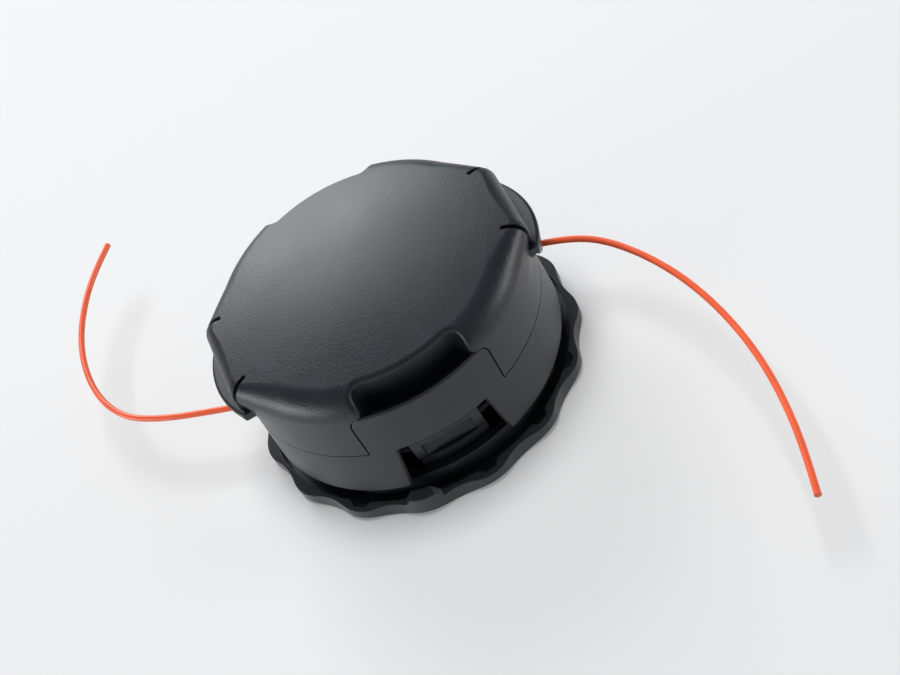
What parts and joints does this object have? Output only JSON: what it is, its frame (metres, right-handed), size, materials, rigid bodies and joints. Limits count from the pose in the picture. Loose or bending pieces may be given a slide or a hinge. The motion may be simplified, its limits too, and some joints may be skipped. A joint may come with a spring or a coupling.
{
  "type": "trimmer head",
  "caption": "Round bump feed head for a string trimmer: a domed cap and drum turn on a keyed line spool over a scalloped drive plate, with cutting line leaving both sides.",
  "frame": {"origin": "Centre of the drive plate's underside, on the spin axis.", "axes": "+Z is the spin axis, out through the cap that meets the ground. X runs through the two ears where the line leaves. The finger scoops and latch windows face -Y and +Y."},
  "size_m": [0.2126, 0.2758, 0.064],
  "materials": {
    "black_plastic": "moulded, fine grain",
    "ear_plastic": "smooth moulded",
    "inner_plastic": "moulded",
    "line_nylon": "extruded nylon",
    "steel": "plated"
  },
  "bodies": {
    "hub": {"drive_plate": "black_plastic", "arbor_insert": "steel", "spool": "inner_plastic", "lower_line_winding": "line_nylon", "upper_line_winding": "line_nylon", "spool_retaining_ring": "steel", "spring_seat_washer": "steel", "feed_spring": "steel"},
    "bump_carrier": {"spring_cup": "inner_plastic", "thrust_washer": "inner_plastic"},
    "drum_and_cap": {"drum": "black_plastic", "bump_cap": "black_plastic", "left_line_guide": "ear_plastic", "right_line_guide": "ear_plastic", "left_eyelet": "steel", "right_eyelet": "steel", "left_line_lead": "line_nylon", "right_line_lead": "line_nylon", "left_cutting_line": "line_nylon", "right_cutting_line": "line_nylon"},
    "front_latch": {"front_latch_finger": "black_plastic"},
    "rear_latch": {"rear_latch_finger": "black_plastic"}
  },
  "joints": [
    {"name": "bump_slide", "type": "slide", "parent": "hub", "child": "bump_carrier", "axis": [0, 0, 1], "range_m": [-0.004, 0], "stiffness_N_per_m": 2500, "springref_m": 0.01, "deforming": ["feed_spring"]},
    {"name": "drum_spin", "type": "hinge", "parent": "bump_carrier", "child": "drum_and_cap", "pos_m": [0, 0, 0], "axis": [0, 0, 1], "continuous": true},
    {"name": "front_latch_press", "type": "hinge", "parent": "drum_and_cap", "child": "front_latch", "pos_m": [0, -0.0515, 0.0314], "axis": [1, 0, 0], "range_deg": [0, 6], "stiffness_Nm_per_rad": 0.5},
    {"name": "rear_latch_press", "type": "hinge", "parent": "drum_and_cap", "child": "rear_latch", "pos_m": [0, 0.0515, 0.0314], "axis": [-1, 0, 0], "range_deg": [0, 6], "stiffness_Nm_per_rad": 0.5}
  ]
}
